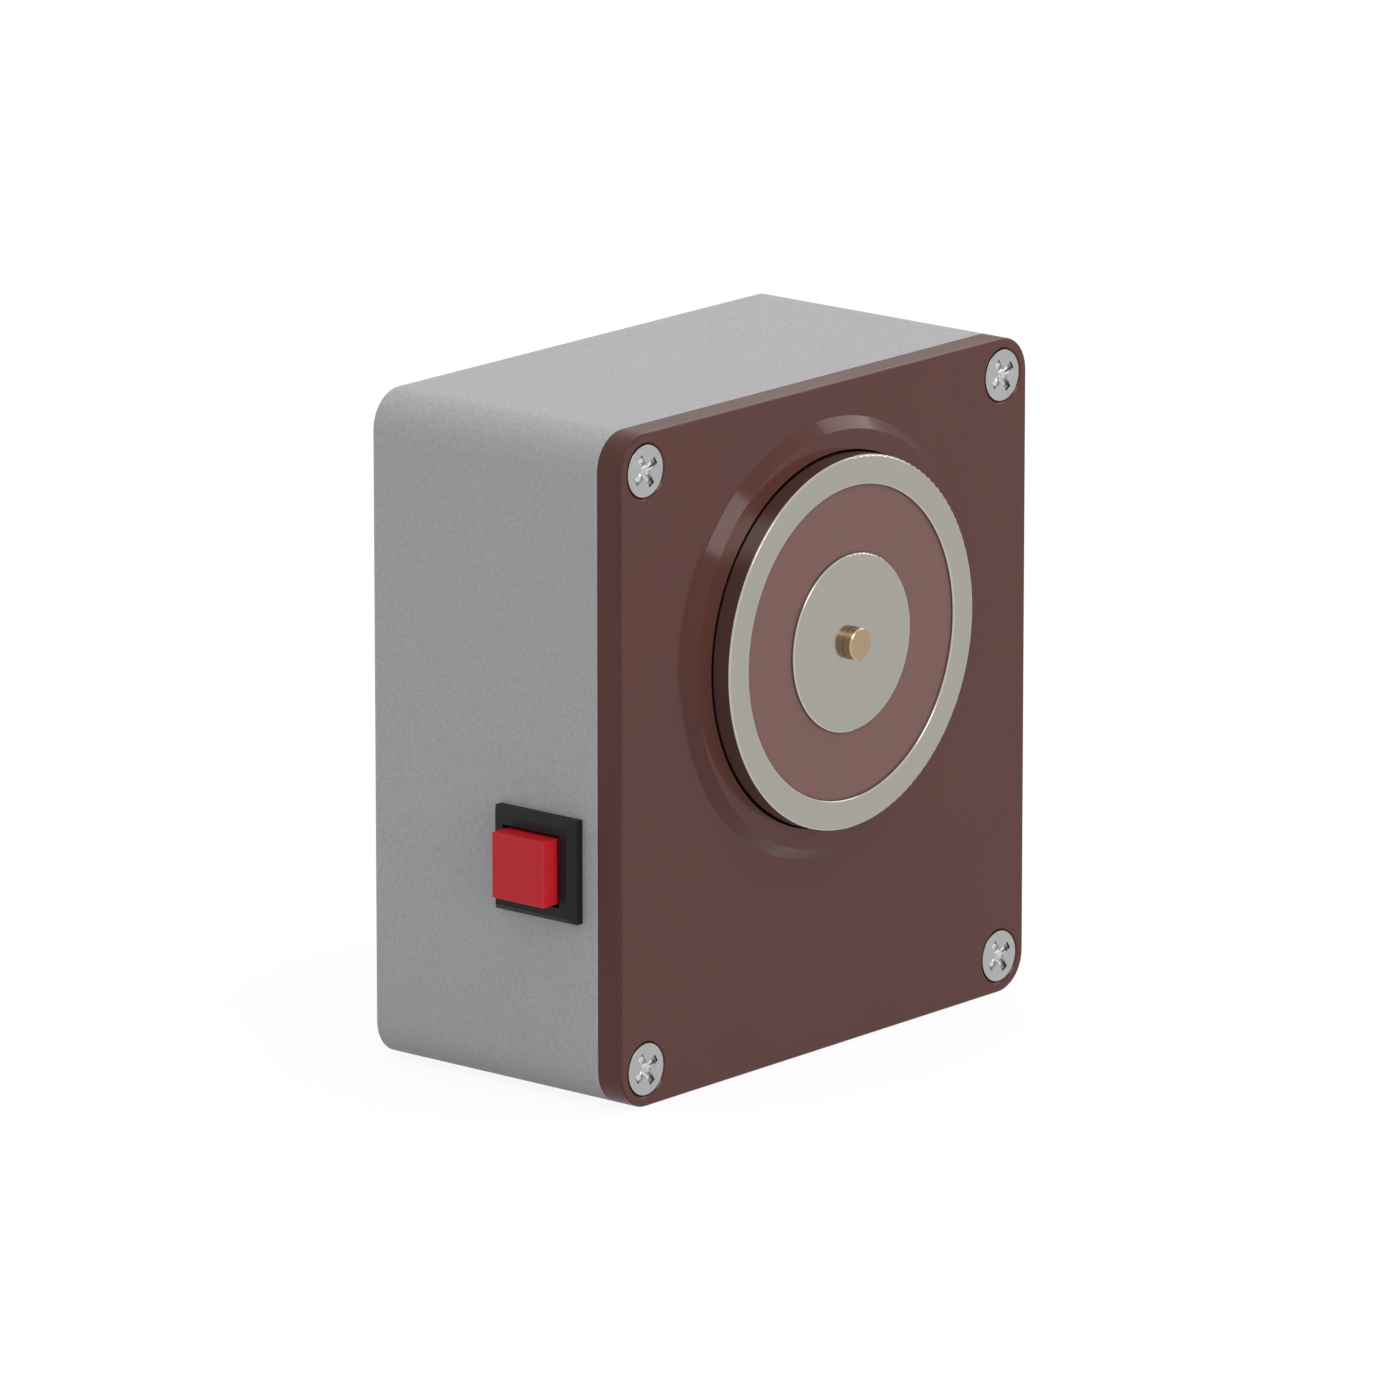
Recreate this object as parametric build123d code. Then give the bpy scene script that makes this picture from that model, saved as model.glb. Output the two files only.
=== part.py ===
from build123d import *
from math import cos, radians, sin, tan
import os

# Wall-mounted electromagnetic door holder.
# X runs to the right, Z up and Y into the wall; the origin is the centre of the
# back face, which lies on the wall. Sizes are in millimetres. A "stand" is a
# distance out from the wall face, and an "out" is a distance out of the
# housing's left side, negative inside the housing.

# Clearances shared by all screws: in their own thread, through a loose hole, past their tip
thread_clearance = 0.05
screw_hole_clearance = 0.25
screw_tip_room = 1.0

# Room inside the housing round the magnet, which sets the housing's width and height
magnet_side_room = 16.8
magnet_top_room = 7.7
magnet_board_room = 6.2

# Housing, cast in one piece
case_depth = 46.0
corner_radius = 6.0
side_wall = 3.0
back_wall = 3.0
screw_inset = 6.0
boss_radius = 5.0
boss_root_fillet = 1.2
cavity_floor_fillet = 1.0

# Wall fixing holes in the back wall
fixing_inset_x = 11.8
fixing_inset_z = 19.9
fixing_hole_radius = 2.5
fixing_pad_radius = 5.6
fixing_pad_height = 1.0

# Front plate with its collar
plate_thickness = 4.8
plate_edge_round = 0.35
collar_width = 3.27
collar_height = 1.8
magnet_gap = 0.28
rim_width = 1.6
rim_height = 2.0
rim_clearance = 0.25

# Cover screws, M4 countersunk with a cross recess
cover_thread_radius = 2.0
cover_head_radius = 4.2
cover_head_rim = 0.4
cover_head_edge_round = 0.2
cover_screw_length = 18.0
recess_span = 5.6
recess_wing = 1.3
recess_wall_depth = 0.4
recess_depth = 1.2
recess_turn = 31.0
recess_floor_span_share = 0.22
recess_floor_wing_share = 0.5
pan_head_round_share = 0.5

# Holding magnet, turned in one piece
magnet_radius = 30.0
magnet_length = 36.0
pole_proud = 5.35
pole_ring_bore = 25.2
core_radius = 14.4
coil_groove_depth = 28.0
pole_edge_round = 0.35
lead_hole_radius = 1.1
lead_hole_spacing = 6.2

# Coil and resin in the magnet's groove
bobbin_wall = 1.0
bobbin_flange = 1.2
bobbin_clearance = 0.1
resin_thickness = 3.5
resin_recess = 0.5
winding_margin = 0.7

# Push-off pin in the magnet's core, its spring and the plug behind it
pin_radius = 2.6
pin_proud = 1.7
pin_clearance = 0.05
pin_tip_chamfer = 0.2
pin_guide_length = 14.0
pin_flange_gap = 0.4
pin_flange_thickness = 2.0
pin_tail_radius = 1.8
pin_tail_length = 6.0
spring_chamber_radius = 5.0
push_wire_radius = 0.4
push_coil_gap = 1.0
push_coil_turns = 4.5
plug_radius = 6.0
plug_length = 8.0
plug_bore_length = 10.0
plug_hex_span = 5.0
plug_hex_depth = 4.0

# Steel carrier plate, its four corner screws and the three magnet screws
carrier_thickness = 3.0
carrier_angle = 47.0
carrier_head_gap = 2.8
carrier_border = 6.5
carrier_corner = 5.0
carrier_post_radius = 4.6
carrier_access_radius = 7.0
carrier_notch_width = 20.0
carrier_notch_clearance = 4.0
carrier_thread_radius = 2.0
carrier_screw_length = 14.0
carrier_head_radius = 4.0
carrier_head_height = 2.6
carrier_washer_radius = 3.7
carrier_washer_thickness = 0.9
magnet_screw_count = 3
magnet_screw_circle = 18.0
magnet_thread_radius = 2.5
magnet_screw_floor = 1.2
magnet_head_radius = 4.25
magnet_head_height = 5.0
magnet_hex_span = 4.0
magnet_hex_depth = 2.5
magnet_washer_radius = 4.5
magnet_washer_thickness = 1.2
washer_slit = 0.8
washer_slit_turn = 30.0

# Circuit board and its screws
board_width = 40.0
board_height = 26.0
board_thickness = 1.6
board_left = -27.0
board_margin = 1.9
board_stand = 8.0
board_corner = 1.0
board_screw_inset = 3.5
board_post_radius = 3.0
board_thread_radius = 1.5
board_head_radius = 2.75
board_head_height = 1.9
board_screw_length = 6.0

# Supply terminals on the board, with their wire mouths to the right
terminal_count = 3
terminal_pitch = 5.08
terminal_depth = 8.0
terminal_height = 10.0
terminal_bevel = 1.2
terminal_from_edge = 7.2
terminal_entry_radius = 1.7
terminal_well_radius = 1.75
terminal_screw_radius = 1.5
terminal_screw_sink = 1.2
terminal_slot_width = 0.6
terminal_slot_depth = 1.0
terminal_slot_turn = 25.0
clamp_floor = 1.5
clamp_wall = 0.5
clamp_clearance = 0.1

# Diode across the coil, lying flat on the board
diode_radius = 1.35
diode_length = 5.2
diode_lead_radius = 0.4
diode_span = 11.0
diode_terminal_room = 3.3
diode_from_bottom = 9.0
diode_lift = 0.2
solder_length = 0.8

# Rubber cable entry in the back wall, beside the pad of a lower fixing hole
grommet_from_fixing_x = 13.0
grommet_from_fixing_z = 3.0
grommet_hole_radius = 6.5
grommet_flange_overlap = 2.0
grommet_flange_thickness = 1.2
grommet_recess = 1.4
grommet_bore_radius = 3.0
grommet_lip_overlap = 1.1
grommet_lip_thickness = 1.5
grommet_nose_wall = 1.4
grommet_nose_length = 4.0
grommet_clearance = 0.1

# Push button in the left side
switch_above_board = 6.85
switch_setback = 11.45
switch_window = 11.6
switch_body_wall = 1.3
switch_body_depth = 22.0
switch_cutout_clearance = 0.1
bezel_border = 1.25
bezel_edge = 1.35
bezel_bevel_rise = 1.3
bezel_bevel_run = 1.05
cap_gap = 0.5
cap_proud = 3.15
cap_length = 9.0
cap_edge_round = 0.2
cap_wall = 1.35
cap_pocket_depth = 6.5
button_travel = 2.5
plunger_gap = 0.3
plunger_block_length = 3.6
plunger_fit = 0.05
ear_width = 3.0
ear_length = 2.0
ear_reach = 0.6
ear_clearance = 0.15
stem_radius = 1.6
web_position = 13.2
web_thickness = 1.4
web_hole_clearance = 0.5
contact_gap = 0.1
contact_side_gap = 0.2
contact_width = 3.0
contact_thickness = 0.6
contact_offset = 2.6
tag_length = 5.8
bridge_thickness = 0.5
bridge_width = 2.8
bridge_end_gap = 0.4
stake_radius = 0.95
stake_head_radius = 1.5
stake_head_thickness = 0.8
return_wire_radius = 0.25
return_coil_radius = 2.9
return_coil_turns = 4.5
end_cover_thickness = 2.0
end_cover_step = 0.4
end_cover_clearance = 0.05
lug_length = 3.0
lug_width = 5.0
lug_rise = 0.9
lug_catch_slope = 0.3

# Inner leads; a share is of the way from one end of a route to the other
lead_radius = 0.65
lead_hole_clearance = 0.1
lead_arc_share = 0.45
coil_lead_bend_room = 3.95
coil_lead_rise = 0.6
coil_lead_share_x = 0.3
coil_lead_share_z = 0.46
coil_lead_drop = 7.3
switch_lead_run = 8.0
switch_lead_step = 2.5
switch_lead_fall = 9.0
switch_lead_share = 0.45
switch_lead_drop = 9.0
coil_pads_from_left = (18.0, 22.5)
switch_pads_from_left = (8.5, 13.0)
switch_pads_below = 6.0

# Edges and centres of the housing, the board and the magnet
case_width = 2 * (magnet_radius + magnet_side_room + side_wall)
board_room = board_height + board_margin
case_height = 2 * (magnet_radius + side_wall) + magnet_top_room + magnet_board_room + board_room
case_bottom = -case_height / 2
case_left = -case_width / 2
board_bottom = case_bottom + side_wall + board_margin
board_top = board_bottom + board_height
board_right = board_left + board_width
magnet_z = board_top + magnet_board_room + magnet_radius
magnet_centre = (0, magnet_z)
cover_stand = case_depth + plate_thickness
countersink_radius = cover_head_radius + cover_head_rim
collar_bore_radius = magnet_radius + magnet_gap
collar_top_radius = collar_bore_radius + collar_width
collar_base_radius = collar_top_radius + collar_height
collar_stand = cover_stand + collar_height

# Stands along the magnet's axis
pole_stand = cover_stand + pole_proud
pot_back_stand = pole_stand - magnet_length
groove_stand = pole_stand - coil_groove_depth
resin_face_stand = pole_stand - resin_recess
resin_back_stand = resin_face_stand - resin_thickness
carrier_stand = pot_back_stand - carrier_thickness
pin_shoulder_stand = pole_stand - pin_guide_length
pin_flange_front = pin_shoulder_stand - pin_clearance
pin_flange_back = pin_flange_front - pin_flange_thickness
plug_seat_stand = pot_back_stand + plug_bore_length
plug_back_stand = plug_seat_stand - plug_length

# Radii that follow from the magnet's groove and spring chamber
bobbin_bore_radius = core_radius + bobbin_clearance
bobbin_rim_radius = pole_ring_bore - bobbin_clearance
winding_inner_radius = bobbin_bore_radius + bobbin_wall
lead_hole_offset = (core_radius + pole_ring_bore) / 2
pin_flange_radius = spring_chamber_radius - pin_flange_gap
push_coil_radius = spring_chamber_radius - push_coil_gap - push_wire_radius

# Carrier plate, with its screws clear of the magnet's side
carrier_reach = magnet_radius + carrier_head_radius + carrier_head_gap
carrier_half_x = carrier_reach * cos(radians(carrier_angle))
carrier_half_z = carrier_reach * sin(radians(carrier_angle))
carrier_head_seat = carrier_stand + carrier_thickness + carrier_washer_thickness
magnet_head_seat = carrier_stand - magnet_washer_thickness
magnet_screw_tip = groove_stand - magnet_screw_floor - screw_tip_room

# What stands on the board
board_front = board_stand + board_thickness
terminal_x = board_right - terminal_from_edge - terminal_depth / 2
terminal_z = (board_bottom + board_top) / 2
terminal_front = board_front + terminal_height
clamp_size = 2 * terminal_entry_radius + 2 * clamp_wall
clamp_back = board_front + clamp_floor
clamp_front = clamp_back + clamp_size
entry_stand = (clamp_back + clamp_front) / 2
diode_x = terminal_x - terminal_depth / 2 - diode_terminal_room - diode_span / 2
diode_z = board_bottom + diode_from_bottom
diode_ends = (diode_x - diode_span / 2, diode_x + diode_span / 2)
diode_stand = board_front + diode_radius + diode_lift

# Wall fixing holes and the grommet beside one of them
fixing_x = case_width / 2 - fixing_inset_x
fixing_z = case_height / 2 - fixing_inset_z
grommet_flange_radius = grommet_hole_radius + grommet_flange_overlap
grommet_lip_radius = grommet_hole_radius + grommet_lip_overlap
grommet_nose_radius = grommet_bore_radius + grommet_nose_wall
grommet_place = (fixing_x - grommet_from_fixing_x, grommet_from_fixing_z - fixing_z)

# Push button, outs along its axis
switch_z = board_top + switch_above_board
switch_stand = case_depth - switch_setback
switch_body_size = switch_window + 2 * switch_body_wall
cutout_size = switch_body_size + 2 * switch_cutout_clearance
bezel_size = switch_body_size + 2 * bezel_border
bezel_rise = bezel_edge + bezel_bevel_rise
cap_size = switch_window - 2 * cap_gap
cap_pocket_size = cap_size - 2 * cap_wall
cap_front_out = bezel_rise + cap_proud
cap_back_out = cap_front_out - cap_length
plunger_size = switch_window - 2 * plunger_gap
plunger_back_out = cap_back_out - plunger_block_length
ear_back_out = cap_back_out - ear_length
web_front_out = -web_position
web_back_out = web_front_out - web_thickness
contact_outer = switch_window / 2 - contact_side_gap
contact_leg_middle = contact_outer - contact_thickness / 2
contact_back_out = web_back_out - contact_thickness
bridge_length = 2 * (contact_outer - contact_thickness - bridge_end_gap)
bridge_front_out = contact_back_out - contact_gap
bridge_back_out = bridge_front_out - bridge_thickness
switch_end_out = -switch_body_depth
end_cover_front_out = switch_end_out + end_cover_thickness
end_pocket_size = switch_window + 2 * end_cover_step
tag_end_out = switch_end_out - tag_length

# Places of what repeats, as (x, z) on the wall plane
cover_screw_places = [
    (x * (case_width / 2 - screw_inset), z * (case_height / 2 - screw_inset))
    for x in (-1, 1)
    for z in (-1, 1)
]
fixing_places = [(x * fixing_x, z * fixing_z) for x in (-1, 1) for z in (-1, 1)]
carrier_places = [
    (x * carrier_half_x, magnet_z + z * carrier_half_z) for x in (-1, 1) for z in (-1, 1)
]
magnet_screw_angles = [90 + 360 / magnet_screw_count * k for k in range(magnet_screw_count)]
magnet_screw_places = [
    (
        magnet_screw_circle * cos(radians(angle)),
        magnet_z + magnet_screw_circle * sin(radians(angle)),
    )
    for angle in magnet_screw_angles
]
board_screw_places = [
    (x, z)
    for x in (board_left + board_screw_inset, board_right - board_screw_inset)
    for z in (board_bottom + board_screw_inset, board_top - board_screw_inset)
]
terminal_places = [
    (terminal_x, terminal_z + (k - (terminal_count - 1) / 2) * terminal_pitch)
    for k in range(terminal_count)
]
coil_lead_places = [
    (side * lead_hole_spacing / 2, magnet_z - lead_hole_offset) for side in (-1, 1)
]
pad_row_z = board_top - board_screw_inset
coil_pads = [(board_left + x, pad_row_z) for x in coil_pads_from_left]
switch_pads = [(board_left + x, pad_row_z - switch_pads_below) for x in switch_pads_from_left]


def level(stand):
    """Plane parallel to the wall, with X to the right, Z up and its normal outwards."""
    return Plane.XZ.offset(stand)


def disc(place, radius, start, stop):
    """Round bar square to the wall at place (x, z), between two stands."""
    return extrude(level(start) * Pos(*place) * Circle(radius), stop - start)


def tube(place, outer, inner, start, stop):
    """Round tube square to the wall."""
    ring = Circle(outer) - Circle(inner)
    return extrude(level(start) * Pos(*place) * ring, stop - start)


def cone(place, start_radius, stop_radius, start, stop):
    """Round cone frustum square to the wall."""
    start_disc = level(start) * Pos(*place) * Circle(start_radius)
    stop_disc = level(stop) * Pos(*place) * Circle(stop_radius)
    return loft([start_disc, stop_disc])


def prism(place, outline, start, stop):
    """Any outline centred on place, between two stands."""
    return extrude(level(start) * Pos(*place) * outline, stop - start)


def front_face(solid):
    return solid.faces().sort_by(Axis.Y)[0]


def side_plane(out):
    """Plane of the push button: x to the front, y up and its normal out of the side."""
    origin = (case_left, -switch_stand, switch_z)
    return Plane(origin=origin, x_dir=(0, -1, 0), z_dir=(-1, 0, 0)).offset(out)


def side_block(width, height, start, stop, middle=0):
    """Block along the button's axis between two outs; width is across and height is up."""
    outline = Pos(middle, 0) * Rectangle(width, height)
    return extrude(side_plane(start) * outline, stop - start)


def side_bar(radius, start, stop):
    """Round bar on the button's axis between two outs."""
    return extrude(side_plane(start) * Circle(radius), stop - start)


def together(solids):
    """Separate solids kept side by side in one group."""
    return Compound(children=[solid for group in solids for solid in group.solids()])


def cross_recess(place, stand, turn, scale=1.0):
    """Cross recess in a screw head: straight at its mouth, then tapered to its floor."""
    span = recess_span * scale
    wing = recess_wing * scale
    ledge = stand - recess_wall_depth * scale
    recess = None
    for angle in (turn, turn + 90):
        mouth = Rot(0, 0, angle) * Rectangle(span, wing)
        floor_size = (span * recess_floor_span_share, wing * recess_floor_wing_share)
        floor = Rot(0, 0, angle) * Rectangle(*floor_size)
        ledge_face = level(ledge) * Pos(*place) * mouth
        floor_face = level(stand - recess_depth * scale) * Pos(*place) * floor
        slot = extrude(ledge_face, recess_wall_depth * scale) + loft([floor_face, ledge_face])
        recess = slot if recess is None else recess + slot
    return recess


def coil_spring(base, coil_radius, wire_radius, turns, length):
    """Compression spring that rises from a base plane, with its ends ground flat."""
    rise = length - wire_radius
    path = Helix(pitch=rise / turns, height=rise, radius=coil_radius)
    start = Plane(origin=path @ 0, z_dir=path % 0)
    wire = sweep(start * Circle(wire_radius), path=path, is_frenet=True)
    wire = Pos(0, 0, wire_radius / 2) * wire
    between_ends = extrude(Circle(coil_radius + 2 * wire_radius), length)
    return base * (wire & between_ends)


def cavity_outline():
    """Inside outline of the housing, cut back round the four corner bosses."""
    inner_radius = max(corner_radius - side_wall, thread_clearance)
    outline = RectangleRounded(case_width - 2 * side_wall, case_height - 2 * side_wall, inner_radius)
    for x, z in cover_screw_places:
        corner_x = (x + (case_width / 2 if x > 0 else case_left)) / 2
        corner_z = (z + (case_height / 2 if z > 0 else case_bottom)) / 2
        corner_fill = Pos(corner_x, corner_z) * Rectangle(screw_inset, screw_inset)
        outline -= Pos(x, z) * Circle(boss_radius) + corner_fill
    return fillet(outline.vertices(), boss_root_fillet)


def make_housing():
    outline = RectangleRounded(case_width, case_height, corner_radius)
    body = extrude(level(0) * outline, case_depth)
    cavity = extrude(level(back_wall) * cavity_outline(), case_depth - back_wall)
    floor_edges = cavity.faces().sort_by(Axis.Y)[-1].edges()
    body -= fillet(floor_edges, cavity_floor_fillet)
    body = add_cover_bosses(body)
    body = add_posts(body)
    body = add_fixing_holes(body)
    body -= disc(grommet_place, grommet_hole_radius, 0, back_wall)
    body -= disc(grommet_place, grommet_flange_radius + grommet_clearance, 0, grommet_recess)
    return body - side_block(cutout_size, cutout_size, -side_wall, 0)


def add_cover_bosses(body):
    bottom = cover_stand - cover_screw_length - screw_tip_room
    for place in cover_screw_places:
        body -= disc(place, cover_thread_radius + thread_clearance, bottom, case_depth)
    return body


def add_posts(body):
    """Posts on the back wall for the carrier plate and for the circuit board."""
    rows = [
        (carrier_places, carrier_post_radius, carrier_stand, carrier_thread_radius,
         carrier_head_seat - carrier_screw_length),
        (board_screw_places, board_post_radius, board_stand, board_thread_radius,
         board_front - board_screw_length),
    ]
    for places, radius, top, thread_radius, tip in rows:
        for place in places:
            body += disc(place, radius, back_wall / 2, top)
            body -= disc(place, thread_radius + thread_clearance, tip - screw_tip_room, top)
    return body


def add_fixing_holes(body):
    pad_top = back_wall + fixing_pad_height
    for place in fixing_places:
        body += disc(place, fixing_pad_radius, back_wall / 2, pad_top)
        body -= disc(place, fixing_hole_radius, 0, pad_top)
    return body


def make_front_plate():
    outline = RectangleRounded(case_width, case_height, corner_radius)
    plate = extrude(level(case_depth) * outline, plate_thickness)
    plate = fillet(front_face(plate).edges(), plate_edge_round)
    plate += cone(magnet_centre, collar_base_radius, collar_top_radius, cover_stand, collar_stand)
    rim_outer = offset(cavity_outline(), -rim_clearance)
    rim_inner = offset(cavity_outline(), -rim_clearance - rim_width)
    rim_back = case_depth - rim_height
    plate += extrude(level(rim_back) * (rim_outer - rim_inner), rim_height)
    plate -= disc(magnet_centre, collar_bore_radius, rim_back, collar_stand)
    hole_radius = cover_thread_radius + screw_hole_clearance
    sink = countersink_radius - hole_radius
    for place in cover_screw_places:
        plate -= disc(place, hole_radius, case_depth, cover_stand)
        plate -= cone(place, hole_radius, countersink_radius, cover_stand - sink, cover_stand)
    return plate


def countersunk_screw(place):
    rim_back = cover_stand - cover_head_rim
    cone_back = rim_back - (cover_head_radius - cover_thread_radius)
    screw = disc(place, cover_head_radius, rim_back, cover_stand)
    screw += cone(place, cover_thread_radius, cover_head_radius, cone_back, rim_back)
    screw += disc(place, cover_thread_radius, cover_stand - cover_screw_length, cone_back)
    screw = fillet(front_face(screw).edges(), cover_head_edge_round)
    return screw - cross_recess(place, cover_stand, recess_turn)


def make_magnet_body():
    """Steel pot and core, with the coil's groove, the pin's bore and the fixing holes."""
    body = disc(magnet_centre, magnet_radius, pot_back_stand, pole_stand)
    body -= tube(magnet_centre, pole_ring_bore, core_radius, groove_stand, pole_stand)
    ring_face, core_face = body.faces().sort_by(Axis.Y)[0:2]
    body = fillet(ring_face.edges() + core_face.edges(), pole_edge_round)
    body -= disc(magnet_centre, pin_radius + pin_clearance, pin_shoulder_stand, pole_stand)
    body -= disc(magnet_centre, spring_chamber_radius, plug_seat_stand, pin_shoulder_stand)
    body -= disc(magnet_centre, plug_radius + thread_clearance, pot_back_stand, plug_seat_stand)
    for place in magnet_screw_places:
        thread = magnet_thread_radius + thread_clearance
        body -= disc(place, thread, pot_back_stand, magnet_screw_tip + screw_tip_room)
    for place in coil_lead_places:
        body -= disc(place, lead_hole_radius, pot_back_stand, groove_stand)
    return body


def make_coil_bobbin():
    spool = tube(magnet_centre, winding_inner_radius, bobbin_bore_radius, groove_stand, resin_back_stand)
    for start in (groove_stand, resin_back_stand - bobbin_flange):
        spool += tube(magnet_centre, bobbin_rim_radius, bobbin_bore_radius, start, start + bobbin_flange)
    for place in coil_lead_places:
        spool -= disc(place, lead_hole_radius, groove_stand, groove_stand + bobbin_flange)
    return spool


def make_coil_winding():
    start = groove_stand + bobbin_flange
    stop = resin_back_stand - bobbin_flange
    outer = bobbin_rim_radius - winding_margin
    return tube(magnet_centre, outer, winding_inner_radius + thread_clearance, start, stop)


def make_potting_resin():
    outer = pole_ring_bore - thread_clearance / 2
    inner = core_radius + thread_clearance / 2
    return tube(magnet_centre, outer, inner, resin_back_stand, resin_face_stand)


def make_ejector_pin():
    pin = disc(magnet_centre, pin_radius, pin_flange_front, pole_stand + pin_proud)
    pin = chamfer(front_face(pin).edges(), pin_tip_chamfer)
    pin += disc(magnet_centre, pin_flange_radius, pin_flange_back, pin_flange_front)
    tail_back = pin_flange_back - pin_tail_length
    return pin + disc(magnet_centre, pin_tail_radius, tail_back, pin_flange_back)


def make_ejector_spring():
    base = level(plug_seat_stand) * Pos(*magnet_centre)
    length = pin_flange_back - plug_seat_stand
    return coil_spring(base, push_coil_radius, push_wire_radius, push_coil_turns, length)


def make_spring_plug():
    plug = disc(magnet_centre, plug_radius, plug_back_stand, plug_seat_stand)
    hexagon = RegularPolygon(plug_hex_span / 2, 6, major_radius=False)
    return plug - prism(magnet_centre, hexagon, plug_back_stand, plug_back_stand + plug_hex_depth)


def make_carrier_plate():
    """Flat steel plate; its notch below lets the coil leads pass."""
    width = 2 * (carrier_half_x + carrier_border)
    height = 2 * (carrier_half_z + carrier_border)
    outline = RectangleRounded(width, height, carrier_corner) - Circle(carrier_access_radius)
    notch_top = carrier_notch_clearance - lead_hole_offset
    notch_height = notch_top + height / 2
    notch = Rectangle(carrier_notch_width, notch_height, align=(Align.CENTER, Align.MAX))
    outline -= Pos(0, notch_top) * notch
    for x, z in carrier_places:
        outline -= Pos(x, z - magnet_z) * Circle(carrier_thread_radius + screw_hole_clearance)
    for x, z in magnet_screw_places:
        outline -= Pos(x, z - magnet_z) * Circle(magnet_thread_radius + screw_hole_clearance)
    return prism(magnet_centre, outline, carrier_stand, pot_back_stand)


def pan_head_screw(place, seat, thread_radius, length, head_radius, head_height):
    """Screw with a rounded head and a cross recess; seat is the stand under its head."""
    top = seat + head_height
    screw = disc(place, head_radius, seat, top)
    screw = fillet(front_face(screw).edges(), head_height * pan_head_round_share)
    screw += disc(place, thread_radius, seat - length, seat)
    return screw - cross_recess(place, top, 0, thread_radius / cover_thread_radius)


def lock_washer(place, outer, inner, start, thickness):
    """Split spring washer, pressed flat under its screw's head."""
    slit = Rectangle(outer, washer_slit, align=(Align.MIN, Align.CENTER))
    ring = Circle(outer) - Circle(inner) - Rot(0, 0, washer_slit_turn) * slit
    return prism(place, ring, start, start + thickness)


def cap_screw(place):
    """Socket-head screw that goes into the magnet from behind the carrier plate."""
    back = magnet_head_seat - magnet_head_height
    screw = disc(place, magnet_head_radius, back, magnet_head_seat)
    screw += disc(place, magnet_thread_radius, magnet_head_seat, magnet_screw_tip)
    hexagon = RegularPolygon(magnet_hex_span / 2, 6, major_radius=False)
    return screw - prism(place, hexagon, back, back + magnet_hex_depth)


def make_carrier_screws():
    sizes = (carrier_thread_radius, carrier_screw_length, carrier_head_radius, carrier_head_height)
    return together(pan_head_screw(place, carrier_head_seat, *sizes) for place in carrier_places)


def make_carrier_washers():
    inner = carrier_thread_radius + thread_clearance
    sizes = (carrier_washer_radius, inner, pot_back_stand, carrier_washer_thickness)
    return together(lock_washer(place, *sizes) for place in carrier_places)


def make_magnet_washers():
    inner = magnet_thread_radius + thread_clearance
    sizes = (magnet_washer_radius, inner, magnet_head_seat, magnet_washer_thickness)
    return together(lock_washer(place, *sizes) for place in magnet_screw_places)


def make_board_screws():
    sizes = (board_thread_radius, board_screw_length, board_head_radius, board_head_height)
    return together(pan_head_screw(place, board_front, *sizes) for place in board_screw_places)


def make_circuit_board():
    centre = ((board_left + board_right) / 2, (board_bottom + board_top) / 2)
    outline = Pos(*centre) * RectangleRounded(board_width, board_height, board_corner)
    for place in board_screw_places:
        outline -= Pos(*place) * Circle(board_thread_radius + screw_hole_clearance)
    for place in coil_pads + switch_pads:
        outline -= Pos(*place) * Circle(lead_radius + lead_hole_clearance)
    for x in diode_ends:
        outline -= Pos(x, diode_z) * Circle(diode_lead_radius + lead_hole_clearance)
    return extrude(level(board_stand) * outline, board_thickness)


def mouth_plane(x, z):
    """Plane across a terminal's wire mouth, with its normal to the right."""
    return Plane(origin=(x, -entry_stand, z), x_dir=(0, 1, 0), z_dir=(1, 0, 0))


def make_terminal_body():
    """Moulded block with a screw well, a clamp room and a wire mouth for each pole."""
    outline = Rectangle(terminal_depth, terminal_count * terminal_pitch)
    block = prism((terminal_x, terminal_z), outline, board_front, terminal_front)
    block = chamfer(front_face(block).edges().filter_by(Axis.Z), terminal_bevel)
    room_size = clamp_size + 2 * clamp_clearance
    room = Rectangle(room_size, room_size)
    for place in terminal_places:
        block -= disc(place, terminal_well_radius, entry_stand, terminal_front)
        block -= prism(place, room, clamp_back - clamp_clearance, clamp_front + clamp_clearance)
        mouth = mouth_plane(*place) * Circle(terminal_entry_radius)
        block -= extrude(mouth, terminal_depth)
    return block


def terminal_clamp(place):
    """Square metal cage that draws the wire up under its screw."""
    x, z = place
    cage = prism(place, Rectangle(clamp_size, clamp_size), clamp_back, clamp_front)
    inner = clamp_size - 2 * clamp_wall
    cage -= extrude(mouth_plane(x - clamp_size, z) * Rectangle(inner, inner), 2 * clamp_size)
    return cage - disc(place, terminal_screw_radius + thread_clearance, entry_stand, clamp_front)


def terminal_screw(place):
    """Slotted grub screw in its well above the clamp."""
    start = entry_stand + terminal_entry_radius / 2
    stop = terminal_front - terminal_screw_sink
    slot = Rot(0, 0, terminal_slot_turn) * Rectangle(4 * terminal_screw_radius, terminal_slot_width)
    screw = disc(place, terminal_screw_radius, start, stop)
    return screw - prism(place, slot, stop - terminal_slot_depth, stop)


def make_suppression_diode():
    middle = Plane(origin=(diode_x - diode_length / 2, -diode_stand, diode_z), z_dir=(1, 0, 0))
    body = extrude(middle * Circle(diode_radius), diode_length)
    left, right = diode_ends
    foot = board_stand - solder_length
    corners = [
        (left, -foot, diode_z),
        (left, -diode_stand, diode_z),
        (right, -diode_stand, diode_z),
        (right, -foot, diode_z),
    ]
    path = FilletPolyline(*corners, radius=2 * diode_lead_radius)
    start = Plane(origin=path @ 0, z_dir=path % 0)
    return body + sweep(start * Circle(diode_lead_radius), path=path)


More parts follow.
